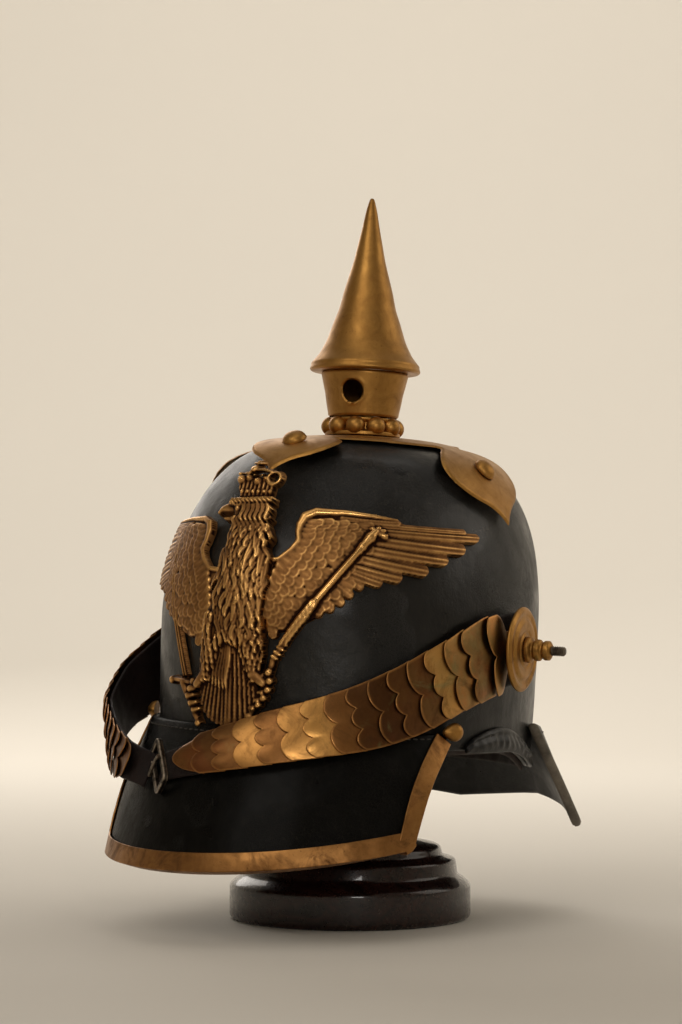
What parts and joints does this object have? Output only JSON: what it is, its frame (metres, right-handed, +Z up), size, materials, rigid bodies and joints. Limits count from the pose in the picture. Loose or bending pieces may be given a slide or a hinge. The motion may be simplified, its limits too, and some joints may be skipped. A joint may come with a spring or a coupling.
{
  "type": "spiked leather helmet with eagle plate on a turned display stand",
  "caption": "Black leather spiked helmet with brass spike, eagle plate, visor trim and scaled chin strap, resting on a plain turned wooden stand.",
  "frame": {"origin": "centre of the underside of the stand's foot", "axes": "+Z up along the stand, -Y towards the front visor, +X towards the wearer's left"},
  "size_m": [0.2568, 0.2797, 0.3907],
  "materials": {
    "leather_black": "lacquered black leather, finely crazed",
    "leather_lining": "dull dark brown sweatband",
    "leather_strap": "worn dark reddish brown",
    "brass": "aged satin",
    "brass_trim": "worn, slightly dented",
    "brass_aged": "deep brown patina with rubbed edges",
    "brass_scale": "aged, uneven tarnish",
    "steel_dark": "tarnished",
    "lacquered_wood": "gloss red-black lacquer"
  },
  "bodies": {
    "root": {"shell": "leather_black", "sweatband": "leather_lining", "front_visor": "leather_black", "rear_visor": "leather_black", "visor_trim": "brass_trim", "spike_base": "brass", "pearl_ring": "brass", "spike_neck": "brass", "spike_cone": "brass", "eagle_plate": "brass_aged", "arm_stud_front": "brass", "arm_stud_back": "brass", "arm_stud_left": "brass", "arm_stud_right": "brass", "ear_roll_left": "leather_black", "strap_left": "leather_strap", "scale_left_01": "brass_scale", "scale_left_02": "brass_scale", "scale_left_03": "brass_scale", "scale_left_04": "brass_scale", "scale_left_05": "brass_scale", "scale_left_06": "brass_scale", "scale_left_07": "brass_scale", "scale_left_08": "brass_scale", "scale_left_09": "brass_scale", "scale_left_10": "brass_scale", "scale_left_11": "brass_scale", "scale_left_12": "brass_scale", "scale_left_13": "brass_scale", "scale_left_14": "brass_scale", "scale_left_15": "brass_scale", "scale_left_16": "brass_scale", "rosette_left": "brass", "rosette_post_left": "brass", "trim_stud_left": "brass", "ear_roll_right": "leather_black", "strap_right": "leather_strap", "scale_right_01": "brass_scale", "scale_right_02": "brass_scale", "scale_right_03": "brass_scale", "scale_right_04": "brass_scale", "scale_right_05": "brass_scale", "scale_right_06": "brass_scale", "scale_right_07": "brass_scale", "scale_right_08": "brass_scale", "scale_right_09": "brass_scale", "scale_right_10": "brass_scale", "scale_right_11": "brass_scale", "scale_right_12": "brass_scale", "scale_right_13": "brass_scale", "scale_right_14": "brass_scale", "scale_right_15": "brass_scale", "scale_right_16": "brass_scale", "rosette_right": "brass", "rosette_post_right": "brass", "trim_stud_right": "brass", "buckle_frame": "steel_dark", "buckle_prong": "steel_dark", "stand": "lacquered_wood"}
  },
  "joints": []
}
